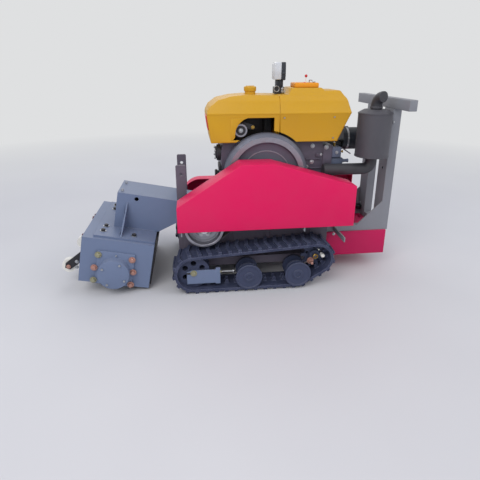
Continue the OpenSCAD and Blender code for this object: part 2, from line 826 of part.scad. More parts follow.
module arm_gussets() {
    color("#7b8698") on_head() both_sides()
        cut_yz([[arm_w / 2, -arm_foot], [housing_w / 2 - 40, -arm_foot], [arm_w / 2, -arm_foot + 170]],
            arm_reach - 70, arm_reach - 62);
}

flange_h = 12;

module mount_flange() {
    color("#7b8698") on_head() block([housing_rear, housing_front - 60],
        [-housing_w / 2 + 25, housing_w / 2 - 25], [-arm_foot - flange_h, -arm_foot]);
}

housing_top = -arm_foot - flange_h;

module drum_housing() {
    half = housing_w / 2;
    inner = half - housing_t;
    color("#7b8698") on_head() {
        both_sides() difference() {
            block([housing_rear, housing_front], [inner, half], [-housing_foot, housing_top]);
            bar_y(drum_shaft_r + 30, [inner - 1, half + 1], [drum_u, -drum_v]);
        }
        block([housing_rear, housing_front], [-inner, inner], [housing_top - 8, housing_top]);
        block([housing_front - 8, housing_front], [-inner, inner], [-housing_foot + 40, housing_top - 8]);
        block([housing_rear, housing_rear + 8], [-inner, inner], [-housing_foot + 90, housing_top - 8]);
    }
}

module drum_bearings() {
    half = housing_w / 2;
    color("#7b8698") on_head() both_sides() difference() {
        union() {
            block([drum_u - 110, drum_u + 110], [half, half + 10], [-drum_v - 93, -drum_v + 125]);
            bar_y(93, [half + 10, half + 60], [drum_u, -drum_v]);
        }
        bar_y(drum_shaft_r + shaft_fit, [half - 1, half + 40], [drum_u, -drum_v]);
    }
}

module rear_scraper() {
    half = housing_w / 2 - housing_t - 6;
    color("#2f3036") on_head()
        block([housing_rear - 10, housing_rear], [-half, half], [-housing_foot + 20, housing_top - 20]);
}

depth_wheel_u = 788;
depth_wheel_v = -429;
depth_wheel_y = 185;

module wheel_arms() {
    color("#33353b") on_head() both_sides() {
        cut_xz([[housing_front, -290], [housing_front, -370], [depth_wheel_u - 10, depth_wheel_v - 20],
            [depth_wheel_u + 20, depth_wheel_v - 12], [depth_wheel_u + 20, depth_wheel_v + 20]],
            depth_wheel_y + 24, depth_wheel_y + 34);
        bar_y(9, [depth_wheel_y - 20, depth_wheel_y + 24], [depth_wheel_u, depth_wheel_v]);
    }
}

module depth_wheel() {
    color("#e8e6e0") on_head() difference() {
        bar_y(wheel_r, [depth_wheel_y - 20, depth_wheel_y + 20], [depth_wheel_u, depth_wheel_v]);
        bar_y(9 + shaft_fit, [0, depth_wheel_y + 21], [depth_wheel_u, depth_wheel_v]);
    }
}

module depth_wheel_left() {
    depth_wheel();
}

module depth_wheel_right() {
    mirror([0, 1, 0]) depth_wheel();
}

drum_half = housing_w / 2 - housing_t - 11;
holder_h = 16;
pick_r1 = 9;
pick_tilt = 35;
pick_step = 78;

// Picks sit on two spirals that meet at the drum's middle: each row turns them a little further
module pick_places() {
    pitch = (drum_half - 20) / (pick_rows - 0.5);
    for (side = [-1, 1], row = [0:pick_rows - 1], start = [0:1])
        translate([drum_u, side * (row + 0.25 + start / 2) * pitch, -drum_v])
            rotate([0, row * pick_step / 2 + start * 180 + (side > 0 ? 0 : 24), 0]) children();
}

module milling_drum() {
    color("#26262a") on_head() {
        bar_y(drum_r, [-drum_half, drum_half], [drum_u, -drum_v]);
        bar_y(drum_shaft_r, [-housing_w / 2 - 38, housing_w / 2 + 38], [drum_u, -drum_v]);
        pick_places() translate([0, 0, drum_r - 3]) rotate([0, pick_tilt / 2, 0])
            translate([-16, -11, -4]) cube([30, 22, holder_h]);
    }
}

module cutting_picks() {
    reach = pick_r - drum_r - holder_h + 6;
    color("#9c958a") on_head() pick_places() translate([0, 0, drum_r - 3]) rotate([0, pick_tilt / 2, 0])
        translate([-2, 0, holder_h - 4]) cylinder(h = reach, r1 = pick_r1, r2 = 2.5);
}

// Lift cylinder
rod_eye_world = [pivot_x + rod_eye[0] * cos(head_tilt) - rod_eye[1] * sin(head_tilt),
    pivot_z + rod_eye[0] * sin(head_tilt) + rod_eye[1] * cos(head_tilt)];
lift_len = norm(rod_eye_world - lift_foot);
lift_angle = atan2(rod_eye_world[1] - lift_foot[1], rod_eye_world[0] - lift_foot[0]);
lift_bore = 32;
lift_rod_r = 14;

module on_lift() {
    translate([lift_foot[0], 0, lift_foot[1]]) rotate([0, -lift_angle, 0]) children();
}

module lift_barrel() {
    color("#2e3036") on_lift() {
        difference() {
            union() {
                bar_x(lift_bore / 2 + 10, [38, lift_len - 70]);
                bar_x(lift_bore / 2, [0, 40]);
                bar_y(lift_lug_y - 1, [-lift_lug_y + seat_gap, lift_lug_y - seat_gap]);
            }
            bar_x(lift_rod_r + shaft_fit, [70, lift_len]);
            bar_y(lift_pin_r + shaft_fit, [-40, 40]);
        }
    }
}

module lift_rod() {
    color("#c9ccd2") on_lift() {
        bar_x(lift_rod_r, [lift_len - 170, lift_len - 18]);
        difference() {
            translate([lift_len, 0, 0]) bar_y(22, [-14, 14]);
            translate([lift_len, 0, 0]) bar_y(lift_pin_r + 2.5, [-20, 20]);
        }
    }
}

main_frame();
front_cheeks();
front_masts();
rear_deck();
rear_posts();
rear_crossbar();
rear_tank();
belt_guard_left();
belt_guard_right();
guard_brackets();
drive_belts();
pump_belt();
crankcase();
cylinder_block();
injection_pump();
hood_front();
hood_rear();
fuel_cap();
radiator_lid();
radiator_core();
dynamo();
air_cleaner();
exhaust_pipe();
muffler();
tail_pipe();
lamp_stand();
work_lamp();
hydraulic_pump();
pump_pulley();
track_left();
track_right();
track_beams();
idlers();
sprockets();
track_rollers();
tensioners();
drive_motors();
flywheel();
front_pulley();
cross_shaft();
arm_sides();
arm_plates();
arm_gussets();
mount_flange();
drum_housing();
drum_bearings();
rear_scraper();
wheel_arms();
milling_drum();
cutting_picks();
depth_wheel_left();
depth_wheel_right();
lift_barrel();
lift_rod();
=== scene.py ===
"""Looks of a compact cold planer: finishes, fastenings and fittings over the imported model."""
import json
import math

import bmesh
import bpy
from mathutils import Matrix, Vector


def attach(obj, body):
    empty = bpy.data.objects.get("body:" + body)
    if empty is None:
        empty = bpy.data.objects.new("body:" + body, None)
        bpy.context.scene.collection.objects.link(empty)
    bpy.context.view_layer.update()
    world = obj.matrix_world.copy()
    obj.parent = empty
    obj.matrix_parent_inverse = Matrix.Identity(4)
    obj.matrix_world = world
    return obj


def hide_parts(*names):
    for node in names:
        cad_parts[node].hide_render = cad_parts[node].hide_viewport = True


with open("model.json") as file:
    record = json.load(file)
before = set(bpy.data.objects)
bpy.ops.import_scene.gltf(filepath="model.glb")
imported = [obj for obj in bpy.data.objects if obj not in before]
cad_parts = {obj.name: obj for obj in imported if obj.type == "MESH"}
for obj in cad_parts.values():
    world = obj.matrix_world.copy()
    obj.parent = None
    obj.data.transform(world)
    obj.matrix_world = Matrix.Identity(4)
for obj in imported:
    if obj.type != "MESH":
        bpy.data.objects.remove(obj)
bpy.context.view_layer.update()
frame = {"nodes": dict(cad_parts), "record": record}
CAD = frame["nodes"]
BODIES = frame["record"]["behaviour"]["bodies"]
SLOTS = {part["node"]: part["material_slot"] for part in frame["record"]["subparts"]}


# Camera at the photograph's place: about 2.7 m off the left side, level with the machine's top. It looks down
# and a little to the rear (degrees), and the lens is shifted down by a share of the picture's width
SENSOR_MM, FOCAL_PIXELS, PHOTO_PIXELS = 36, 410, 480
PHOTO_SHIFT = -0.054
LOOKS_DOWN, LOOKS_BACK = 19.6, 6.81
view = bpy.data.cameras.new("view")
view.sensor_width = SENSOR_MM
view.lens = SENSOR_MM * FOCAL_PIXELS / PHOTO_PIXELS
view.shift_y = PHOTO_SHIFT
eye = bpy.data.objects.new("view", view)
eye.location = (0.231, 2.656, 1.310)
eye.rotation_euler = (math.radians(90 - LOOKS_DOWN), 0, math.radians(180 - LOOKS_BACK))
bpy.context.collection.objects.link(eye)
bpy.context.scene.camera = eye
bpy.context.scene.view_settings.view_transform = "Standard"


# Shader nodes and colours
def linear(code):
    """A hex sRGB colour as linear values with an alpha of one."""
    shares = [int(code[i:i + 2], 16) / 255 for i in (1, 3, 5)]
    return tuple(c / 12.92 if c <= 0.04045 else ((c + 0.055) / 1.055) ** 2.4 for c in shares) + (1.0,)


def per_mm(size):
    """Texture scale at which a pattern's features are this many millimetres across."""
    return 1000.0 / size


def add(tree, kind, inputs=None, **settings):
    """Adds a node with its settings. Each input is a value, or the output that feeds it."""
    made = tree.nodes.new("ShaderNode" + kind)
    for key, value in settings.items():
        setattr(made, key, value)
    for socket, value in (inputs or {}).items():
        if isinstance(value, bpy.types.NodeSocket):
            tree.links.new(value, made.inputs[socket])
        else:
            made.inputs[socket].default_value = value
    return made


def new_material(name):
    material = bpy.data.materials.new(name)
    material.use_nodes = True
    material.node_tree.nodes.clear()
    return material, material.node_tree


def close_material(tree, shader):
    add(tree, "OutputMaterial", {"Surface": shader.outputs[0]})


def ramp(tree, value, low, high, to_low=0.0, to_high=1.0):
    """A value's stretch between low and high, spread over another stretch."""
    return add(tree, "MapRange", {"Value": value, "From Min": low, "From Max": high, "To Min": to_low,
                                  "To Max": to_high}).outputs[0]


def blended(tree, share, first, second):
    return add(tree, "Mix", {0: share, 6: first, 7: second}, data_type="RGBA").outputs[2]


def soft_normal(tree, radius):
    """The surface's direction as if its sharp edges were rounded to a radius, in metres."""
    return add(tree, "Bevel", {"Radius": radius}, samples=4).outputs[0]


def edge_share(tree, soft):
    """How near a sharp edge the surface is, 1 at the edge, for paint rubbed thin and for a painted highlight
    along edges.
    """
    true = add(tree, "NewGeometry").outputs["Normal"]
    turn = add(tree, "VectorMath", {0: soft, 1: true}, operation="DOT_PRODUCT")
    return ramp(tree, turn.outputs["Value"], 0.995, 0.86)


# Finishes
def enamel(name, code, rough=0.42, dust=0.25, peel=2.5, wear_and_highlight=0.35, bare_and_highlight="#8f8d8a"):
    """Two-pack enamel sprayed on folded sheet steel: an even sheen with faint orange peel, road dust that
    settles on what faces up, and edges rubbed thin by handling that also carry a painted highlight."""
    material, tree = new_material(name)
    place = add(tree, "TexCoord").outputs["Object"]
    blotch = add(tree, "TexNoise", {"Vector": place, "Scale": per_mm(160), "Detail": 5, "Roughness": 0.6})
    speck = add(tree, "TexNoise", {"Vector": place, "Scale": per_mm(9), "Detail": 4, "Roughness": 0.7})
    skin = add(tree, "TexNoise", {"Vector": place, "Scale": per_mm(peel), "Detail": 1})
    soft = soft_normal(tree, 0.0025)
    edge = edge_share(tree, soft)
    shade = ramp(tree, blotch.outputs["Fac"], 0.35, 0.7, 0.0, 0.16)
    worn = add(tree, "HueSaturation", {"Saturation": 0.9, "Value": 0.75, "Color": linear(code)})
    paint = blended(tree, shade, linear(code), worn.outputs[0])
    up = add(tree, "SeparateXYZ", {0: add(tree, "NewGeometry").outputs["Normal"]})
    lie = ramp(tree, up.outputs["Z"], 0.2, 1.0, 0.04, 1.0)
    fall = ramp(tree, speck.outputs["Fac"], 0.35, 0.75, 0.0, dust)
    cover = add(tree, "Math", {0: lie, 1: fall}, operation="MULTIPLY")
    dusty = blended(tree, cover.outputs[0], paint, linear("#c9c1b4"))
    # Paint rubbed thin along edges in a paler edge colour, which also serves as a painted highlight.
    chips_and_highlight = add(tree, "Math", {0: edge, 1: ramp(tree, speck.outputs["Fac"], 0.4, 0.62, 0.0, wear_and_highlight)},
                operation="MULTIPLY")
    colour = blended(tree, chips_and_highlight.outputs[0], dusty, linear(bare_and_highlight))
    sheen = ramp(tree, speck.outputs["Fac"], 0.3, 0.7, rough - 0.06, rough + 0.16)
    bump = add(tree, "Bump", {"Strength": 0.12, "Distance": 0.0004, "Height": skin.outputs["Fac"],
                              "Normal": soft})
    close_material(tree, add(tree, "BsdfPrincipled", {
        "Base Color": colour, "Roughness": sheen, "Normal": bump.outputs[0],
        "Specular IOR Level": 0.35}))
    return material


def casting(name, code, rough=0.55, grain=3.5, oil=0.6):
    """Paint over a sand casting: the sand's grain shows through, oil has darkened it in places, and its edges
    carry a painted highlight.
    """
    material, tree = new_material(name)
    place = add(tree, "TexCoord").outputs["Object"]
    sand = add(tree, "TexNoise", {"Vector": place, "Scale": per_mm(grain), "Detail": 3, "Roughness": 0.6})
    film = add(tree, "TexNoise", {"Vector": place, "Scale": per_mm(90), "Detail": 6, "Roughness": 0.65})
    soft = soft_normal(tree, 0.004)
    edge = edge_share(tree, soft)
    stain = ramp(tree, film.outputs["Fac"], 0.45, 0.68, 0.0, oil)
    dark = add(tree, "HueSaturation", {"Saturation": 0.8, "Value": 0.5, "Color": linear(code)})
    pale = add(tree, "HueSaturation", {"Saturation": 0.8, "Value": 1.6, "Color": linear(code)})
    stained = blended(tree, stain, linear(code), dark.outputs[0])
    # Painted highlight: edges lightened towards a paler copy of the paint.
    edge_highlight = add(tree, "Math", {0: edge, 1: 0.5}, operation="MULTIPLY")
    colour = blended(tree, edge_highlight.outputs[0], stained, pale.outputs[0])
    sheen = ramp(tree, film.outputs["Fac"], 0.4, 0.7, rough, rough - 0.22)
    bump = add(tree, "Bump", {"Strength": 0.35, "Distance": 0.0012, "Height": sand.outputs["Fac"],
                              "Normal": soft})
    close_material(tree, add(tree, "BsdfPrincipled", {
        "Base Color": colour, "Roughness": sheen, "Normal": bump.outputs[0]}))
    return material


def turned(name, code, rough=0.34, groove=1.4, metallic=1.0, axis="Y", rust=0.55):
    """Iron or steel faced in a lathe: fine rings round its axis, with a film of oil and rust."""
    material, tree = new_material(name)
    place = add(tree, "TexCoord").outputs["Object"]
    film = add(tree, "TexNoise", {"Vector": place, "Scale": per_mm(45), "Detail": 5, "Roughness": 0.7})
    rings = add(tree, "TexWave", {"Vector": place, "Scale": per_mm(groove) / 6.3, "Distortion": 1.5,
                                  "Detail": 2.0}, wave_type="BANDS", bands_direction=axis)
    soft = soft_normal(tree, 0.002)
    brown = ramp(tree, film.outputs["Fac"], 0.45, 0.72, 0.0, rust)
    colour = blended(tree, brown, linear(code), linear("#5a4a40"))
    sheen = ramp(tree, film.outputs["Fac"], 0.35, 0.7, rough - 0.05, rough + 0.2)
    bump = add(tree, "Bump", {"Strength": 0.08, "Distance": 0.0003, "Height": rings.outputs["Fac"],
                              "Normal": soft})
    close_material(tree, add(tree, "BsdfPrincipled", {
        "Base Color": colour, "Roughness": sheen, "Metallic": metallic, "Normal": bump.outputs[0]}))
    return material


def rubber(name, code, grain=4.0, dust=0.3, dust_and_highlight_colour="#8d877f"):
    """Moulded rubber: matt, slightly pitted, with grey dust rubbed into it and a painted highlight that makes
    its edges paler.
    """
    material, tree = new_material(name)
    place = add(tree, "TexCoord").outputs["Object"]
    pit = add(tree, "TexNoise", {"Vector": place, "Scale": per_mm(grain), "Detail": 4, "Roughness": 0.65})
    patch = add(tree, "TexNoise", {"Vector": place, "Scale": per_mm(70), "Detail": 5, "Roughness": 0.7})
    soft = soft_normal(tree, 0.003)
    edge = edge_share(tree, soft)
    rub = ramp(tree, patch.outputs["Fac"], 0.4, 0.75, 0.02, dust)
    # Grey dust in patches, plus a painted highlight that pales the edges.
    dust_and_edge_highlight = add(tree, "Math", {0: edge, 1: 0.45, 2: rub}, operation="MULTIPLY_ADD", use_clamp=True)
    colour = blended(tree, dust_and_edge_highlight.outputs[0], linear(code), linear(dust_and_highlight_colour))
    bump = add(tree, "Bump", {"Strength": 0.3, "Distance": 0.0008, "Height": pit.outputs["Fac"],
                              "Normal": soft})
    close_material(tree, add(tree, "BsdfPrincipled", {
        "Base Color": colour, "Roughness": 0.78, "Normal": bump.outputs[0]}))
    return material


def plastic(name, code, rough=0.4, grain=1.2, coat=0.0):
    """Moulded plastic: a fine even texture from the mould and soft highlights."""
    material, tree = new_material(name)
    place = add(tree, "TexCoord").outputs["Object"]
    mould = add(tree, "TexNoise", {"Vector": place, "Scale": per_mm(grain), "Detail": 2})
    haze = add(tree, "TexNoise", {"Vector": place, "Scale": per_mm(50), "Detail": 4})
    sheen = ramp(tree, haze.outputs["Fac"], 0.35, 0.7, rough - 0.05, rough + 0.1)
    pale = add(tree, "HueSaturation", {"Value": 1.25, "Saturation": 0.85, "Color": linear(code)})
    fade = ramp(tree, haze.outputs["Fac"], 0.4, 0.75, 0.0, 0.35)
    colour = blended(tree, fade, linear(code), pale.outputs[0])
    bump = add(tree, "Bump", {"Strength": 0.08, "Distance": 0.0003, "Height": mould.outputs["Fac"]})
    close_material(tree, add(tree, "BsdfPrincipled", {
        "Base Color": colour, "Roughness": sheen, "Normal": bump.outputs[0], "Coat Weight": coat}))
    return material


FRAME_ENAMEL = enamel("slate_enamel", "#625c69", dust=0.12)
HEAD_ENAMEL = enamel("blue_grey_enamel", "#6c7a98", dust=0.14)
REAR_ENAMEL = enamel("grey_enamel", "#84868d", dust=0.14)
MAGENTA_ENAMEL = enamel("magenta_enamel", "#dc0056", rough=0.4, dust=0.02, wear_and_highlight=0.15, bare_and_highlight="#e46a98")
# The rear tank's magenta, darkened as painted shade.
SHADED_MAGENTA_ENAMEL = enamel("magenta_enamel_painted_shade", "#bc0050", rough=0.44, dust=0.08, wear_and_highlight=0.25, bare_and_highlight="#d2608b")
MUSTARD_ENAMEL = enamel("mustard_enamel", "#cc9a18", rough=0.38, dust=0.08, wear_and_highlight=0.25, bare_and_highlight="#efd382")
ORANGE_ENAMEL = enamel("orange_enamel", "#e8960f", rough=0.38, dust=0.06, wear_and_highlight=0.25, bare_and_highlight="#f6cf84")
BLACK_ENAMEL = enamel("black_enamel", "#2c2c31", rough=0.45, dust=0.15, bare_and_highlight="#77777a")
ROLLER_ENAMEL = enamel("blue_black_enamel", "#3b425c", rough=0.5, dust=0.12, bare_and_highlight="#7c8093")
RED_OXIDE = enamel("red_oxide_paint", "#5a2c2a", rough=0.5, dust=0.1)
ENGINE_PAINT = casting("painted_cast_iron", "#5a5363")
PUMP_PAINT = casting("blue_painted_casting", "#5d667c", rough=0.5)
HEAT_PAINT = casting("heat_resistant_paint", "#4c4b52", rough=0.62, grain=1.6, oil=0.25)
PIPE_PAINT = casting("sooty_heat_paint", "#38383e", rough=0.6, grain=1.8)
FLYWHEEL_IRON = turned("machined_cast_iron", "#676a78", rough=0.46, metallic=0.4, rust=0.1)
PULLEY_IRON = turned("turned_pulley_iron", "#9c9ca6", metallic=0.7, rust=0.25)
BRIGHT_STEEL = turned("ground_steel", "#c9ccd2", rough=0.22, groove=0.8, rust=0.2)
PLAIN_STEEL = turned("zinc_plated_steel", "#b4b7bc", rough=0.36, groove=0.9, rust=0.25)
OLIVE_STEEL = turned("yellow_zinc_plated_steel", "#9c9a80", rough=0.42, groove=0.9, metallic=0.5, rust=0.15)
COPPER = turned("worn_copper_plating", "#b98c80", rough=0.42, groove=0.9, metallic=0.5, rust=0.15)
BRASS = turned("turned_brass", "#b8974e", rough=0.3, groove=0.9, rust=0.2)
TOOL_STEEL = turned("worn_tool_steel", "#5f5c57", rough=0.5, metallic=0.8)
PICK_STEEL = turned("pick_steel", "#aaa296", rough=0.38, metallic=0.8)
TRACK_RUBBER = rubber("moulded_track_rubber", "#242b48", dust=0.16, dust_and_highlight_colour="#959bb6")
BELT_RUBBER = rubber("fabric_belt_rubber", "#1d1d1f", grain=2.0, dust=0.15)
FLAP_RUBBER = rubber("flap_rubber", "#1b1b1d", grain=3.0, dust=0.12)
WHITE_NYLON = plastic("turned_nylon", "#e6e4dd", rough=0.45)
LENS_PLASTIC = plastic("lamp_lens_plastic", "#c9ccd1", rough=0.14, coat=0.6)
BLACK_PLASTIC = plastic("black_abs", "#252a33", rough=0.42)
KNOB_PLASTIC = plastic("black_bakelite", "#1a1a1d", rough=0.3, coat=0.3)
RED_PLASTIC = plastic("red_polythene", "#c01820", rough=0.4)

FINISHES = {
    FRAME_ENAMEL: ["main_frame", "front_cheeks", "front_masts", "track_beams"],
    HEAD_ENAMEL: ["arm_sides", "arm_plates", "arm_gussets", "mount_flange", "drum_housing", "drum_bearings",
                  "tensioners"],
    REAR_ENAMEL: ["rear_deck", "rear_posts", "rear_crossbar", "guard_brackets"],
    MAGENTA_ENAMEL: ["belt_guard_left", "belt_guard_right"],
    SHADED_MAGENTA_ENAMEL: ["rear_tank"],
    MUSTARD_ENAMEL: ["hood_front", "hood_rear", "fuel_cap"],
    ORANGE_ENAMEL: ["radiator_lid"],
    BLACK_ENAMEL: ["radiator_core", "dynamo", "lamp_stand", "rear_scraper", "wheel_arms", "lift_barrel"],
    ROLLER_ENAMEL: ["idlers", "sprockets", "track_rollers"],
    ENGINE_PAINT: ["crankcase", "cylinder_block", "hydraulic_pump", "drive_motors"],
    PUMP_PAINT: ["injection_pump"],
    HEAT_PAINT: ["muffler"],
    PIPE_PAINT: ["exhaust_pipe", "tail_pipe"],
    FLYWHEEL_IRON: ["flywheel"],
    PULLEY_IRON: ["front_pulley", "pump_pulley"],
    BRIGHT_STEEL: ["cross_shaft", "lift_rod"],
    TOOL_STEEL: ["milling_drum"],
    PICK_STEEL: ["cutting_picks"],
    TRACK_RUBBER: ["track_left", "track_right"],
    BELT_RUBBER: ["drive_belts", "pump_belt"],
    WHITE_NYLON: ["depth_wheel_left", "depth_wheel_right"],
    LENS_PLASTIC: ["work_lamp"],
    BLACK_PLASTIC: ["air_cleaner"],
}
finish_of = {name: finish for finish, names in FINISHES.items() for name in names}
for name, finish in finish_of.items():
    for held in CAD[name].material_slots:
        held.material = finish


# Shapes. Sizes are in millimetres; a shape is made round the local Z axis and then put in its place
MM = 0.001
UP = (0, 0, 1)
FORWARD, BACK = (1, 0, 0), (-1, 0, 0)
LEFT, RIGHT = (0, 1, 0), (0, -1, 0)
SIDES = ((1, LEFT), (-1, RIGHT))

# Centres and faces that several pieces share
FLYWHEEL_X, FLYWHEEL_Z = -224, 680
SHAFT_X, SHAFT_Z = 173, 401
PULLEY_FACE = 360
PANEL_FACE = 230
ENGINE_FACE = 140
HOOD_FACE = 199
MUFFLER_X, MUFFLER_Y = -899, 200
LID_TOP = 1226
LAMP_X, LAMP_FOOT = -333, 1199.5

# The milling head's own frame: it swings on the cross shaft, and is raised by some degrees as it parks
HEAD_TILT = 11
HEAD = (Matrix.Translation((SHAFT_X * MM, 0, SHAFT_Z * MM))
        @ Matrix.Rotation(math.radians(-HEAD_TILT), 4, "Y"))
DRUM_U, DRUM_V = 491, -354
HEAD_FACE = 357


def spot(x, y, z, facing=UP, turn=0.0):
    """The place at x, y, z whose local Z axis faces the given way, turned about that axis."""
    aim = Vector(UP).rotation_difference(Vector(facing)).to_matrix().to_4x4()
    return Matrix.Translation((x * MM, y * MM, z * MM)) @ aim @ Matrix.Rotation(math.radians(turn), 4, "Z")


def head_spot(u, y, v, facing=UP, turn=0.0):
    """A place on the milling head, along its own length and height."""
    return HEAD @ spot(u, y, v, facing, turn)


def circle(radius, count, first=0.0):
    """Evenly spaced points on a circle round the origin, from an angle in radians on."""
    angles = [k * math.tau / count + first for k in range(count)]
    return [(radius * math.cos(a), radius * math.sin(a)) for a in angles]


def lathe(profile, steps=32):
    """Spins a profile of (radius, height) points round the Z axis."""
    bm = bmesh.new()
    line = [bm.verts.new((r * MM, 0, h * MM)) for r, h in profile]
    edges = [bm.edges.new(pair) for pair in zip(line, line[1:])]
    bmesh.ops.spin(bm, geom=line + edges, axis=UP, cent=(0, 0, 0), angle=math.tau, steps=steps,
                   use_merge=True)
    return bm


def rod(radius, height, steps=24, chamfer=0.0):
    """A round bar on the local XY plane, with its upper rim chamfered."""
    profile = [(0, 0), (radius, 0), (radius, height - chamfer), (radius - chamfer, height), (0, height)]
    return lathe(profile, steps)


def ring(inner, outer, height, steps=32):
    """A flat ring on the local XY plane."""
    return lathe([(inner, 0), (outer, 0), (outer, height), (inner, height), (inner, 0)], steps)


def slab(width, depth, height, edge=0.0):
    """A block on the local XY plane, centred, with its edges bevelled."""
    bm = bmesh.new()
    bmesh.ops.create_cube(bm, size=1.0)
    bmesh.ops.scale(bm, vec=(width * MM, depth * MM, height * MM), verts=bm.verts)
    bmesh.ops.translate(bm, vec=(0, 0, height * MM / 2), verts=bm.verts)
    if edge:
        bmesh.ops.bevel(bm, geom=bm.edges, offset=edge * MM, offset_type="OFFSET", segments=2, profile=0.5,
                        affect="EDGES", material=-1, clamp_overlap=True)
    return bm


def plate(outline, height, edge=0.0):
    """A sheet of any outline on the local XY plane, with its upper rim bevelled."""
    bm = bmesh.new()
    face = bm.faces.new([bm.verts.new((x * MM, y * MM, 0)) for x, y in outline])
    made = bmesh.ops.extrude_face_region(bm, geom=[face])["geom"]
    top = [v for v in made if isinstance(v, bmesh.types.BMVert)]
    bmesh.ops.translate(bm, vec=(0, 0, height * MM), verts=top)
    if edge:
        rim = [e for e in bm.edges if all(v in top for v in e.verts)]
        bmesh.ops.bevel(bm, geom=rim, offset=edge * MM, offset_type="OFFSET", segments=2, profile=0.5,
                        affect="EDGES", material=-1, clamp_overlap=True)
    return bm


def bolt(across=19.0, height=9.0, washer=True):
    """A hexagon bolt head on its washer."""
    base = 2.5 if washer else 0.0
    bm = lathe([(0, 0), (across * 0.85, 0), (across * 0.85, base), (0, base)], 20) if washer else bmesh.new()
    corner = across / math.sqrt(3)
    shoulder, crown = base + height * 0.8, base + height
    for low, high, top in ((base, shoulder, corner), (shoulder, crown, corner * 0.84)):
        made = bmesh.ops.create_cone(bm, cap_ends=True, segments=6, radius1=corner * MM, radius2=top * MM,
                                     depth=(high - low) * MM)["verts"]
        bmesh.ops.translate(bm, vec=(0, 0, (low + high) / 2 * MM), verts=made)
    return bm


def screw(radius=5.0):
    """A socket-head screw with its hexagon hollow."""
    profile = [(0, 4), (radius * 0.45, 4), (radius * 0.5, 7), (radius * 0.9, 7), (radius, 6), (radius, 0),
               (0, 0)]
    return lathe(profile, 16)


def tube(points, radius, sides=12):
    """A bent rod through the points, made from a rounded curve."""
    path = bpy.data.curves.new("path", "CURVE")
    path.dimensions = "3D"
    path.bevel_depth = radius * MM
    path.bevel_resolution = max(1, sides // 4 - 1)
    path.use_fill_caps = True
    line = path.splines.new("POLY")
    line.points.add(len(points) - 1)
    for dot, (x, y, z) in zip(line.points, points):
        dot.co = (x * MM, y * MM, z * MM, 1)
    holder = bpy.data.objects.new("path", path)
    mesh = bpy.data.meshes.new_from_object(holder)
    bm = bmesh.new()
    bm.from_mesh(mesh)
    bpy.data.objects.remove(holder)
    bpy.data.curves.remove(path)
    bpy.data.meshes.remove(mesh)
    return bm


def bent(points, radius, steps=5):
    """The points of a path with its corners rounded to a radius, in millimetres."""
    path = [Vector(p) for p in points]
    out = [path[0]]
    for before, corner, after in zip(path, path[1:], path[2:]):
        a = corner + (before - corner).normalized() * radius
        b = corner + (after - corner).normalized() * radius
        out += [a.lerp(corner, t).lerp(corner.lerp(b, t), t) for t in (k / steps for k in range(steps + 1))]
    return [tuple(p) for p in out + [path[-1]]]


class Piece:
    """A piece that is put together from shapes of one finish."""

    def __init__(self, name, finish, body="chassis"):
        self.name, self.finish, self.body = name, finish, body
        self.mesh = bmesh.new()

    def put(self, shape, *places):
        """Puts a closed shape at each place."""
        for place in places or (Matrix(),):
            part = shape.copy()
            bmesh.ops.transform(part, matrix=place, verts=part.verts)
            bmesh.ops.remove_doubles(part, verts=part.verts, dist=0.000002)
            bmesh.ops.recalc_face_normals(part, faces=part.faces)
            passing = bpy.data.meshes.new("passing")
            part.to_mesh(passing)
            part.free()
            self.mesh.from_mesh(passing)
            bpy.data.meshes.remove(passing)
        shape.free()
        return self

    def done(self, *replaced, sharp=34, slot=None):
        """Makes the object, which rides on its body and stands for the nodes that it replaces."""
        data = bpy.data.meshes.new(self.name)
        self.mesh.to_mesh(data)
        self.mesh.free()
        data.shade_smooth()
        data.set_sharp_from_angle(angle=math.radians(sharp))
        data.materials.append(self.finish)
        piece = bpy.data.objects.new(self.name, data)
        bpy.context.collection.objects.link(piece)
        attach(piece, self.body)
        if replaced:
            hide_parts(*replaced)
        return piece


# Height in metres above which the hood's crown has a small step, which its eased copies close
CROWN_FOOT = 1.145


def body_of(node):
    """The body that a node belongs to."""
    return next(body for body, names in BODIES.items() if node in names)


def eased(node, radius, segments=2, sharp=34, shortest=2.4, corner=30, outer=False, step=0.0):
    """A node's own shape with its edges rounded, which then stands for the node.

    Edges sharper than the corner angle are rounded if they are longer than shortest times the radius,
    and only the outer ones where outer is set. Points of the crown within a step are merged first.
    """
    bm = bmesh.new()
    bm.from_mesh(CAD[node].data)
    bmesh.ops.remove_doubles(bm, verts=bm.verts, dist=0.00001)
    if step:
        crown = [v for v in bm.verts if v.co.z > CROWN_FOOT]
        bmesh.ops.remove_doubles(bm, verts=crown, dist=step * MM)
    bmesh.ops.dissolve_limit(bm, angle_limit=math.radians(0.5), verts=bm.verts, edges=bm.edges)
    edges = [e for e in bm.edges if len(e.link_faces) == 2 and e.calc_face_angle(0) > math.radians(corner)
             and e.calc_length() > shortest * radius * MM and (e.is_convex or not outer)]
    bmesh.ops.bevel(bm, geom=edges, offset=radius * MM, offset_type="OFFSET", segments=segments, profile=0.5,
                    affect="EDGES", material=-1, clamp_overlap=False)
    piece = Piece(node + "_eased", finish_of[node], body_of(node))
    piece.mesh.free()
    piece.mesh = bm
    return piece.done(node, sharp=sharp, slot=SLOTS[node])


# Sheet metal and castings get the rounded edges that folding and the mould give them
for node, radius in (("belt_guard_left", 2.5), ("rear_crossbar", 4), ("rear_tank", 3), ("drum_bearings", 1.5),
                     ("radiator_lid", 7), ("crankcase", 6), ("injection_pump", 4), ("cylinder_block", 3.5),
                     ("muffler", 6), ("dynamo", 2), ("front_pulley", 1.5)):
    eased(node, radius, segments=3 if radius > 3 else 2)
eased("hood_front", 5, segments=3, sharp=40, corner=22, outer=True, step=5.5)
eased("hood_rear", 7, segments=4, sharp=24, shortest=2.2, corner=16, outer=True, step=5.5)


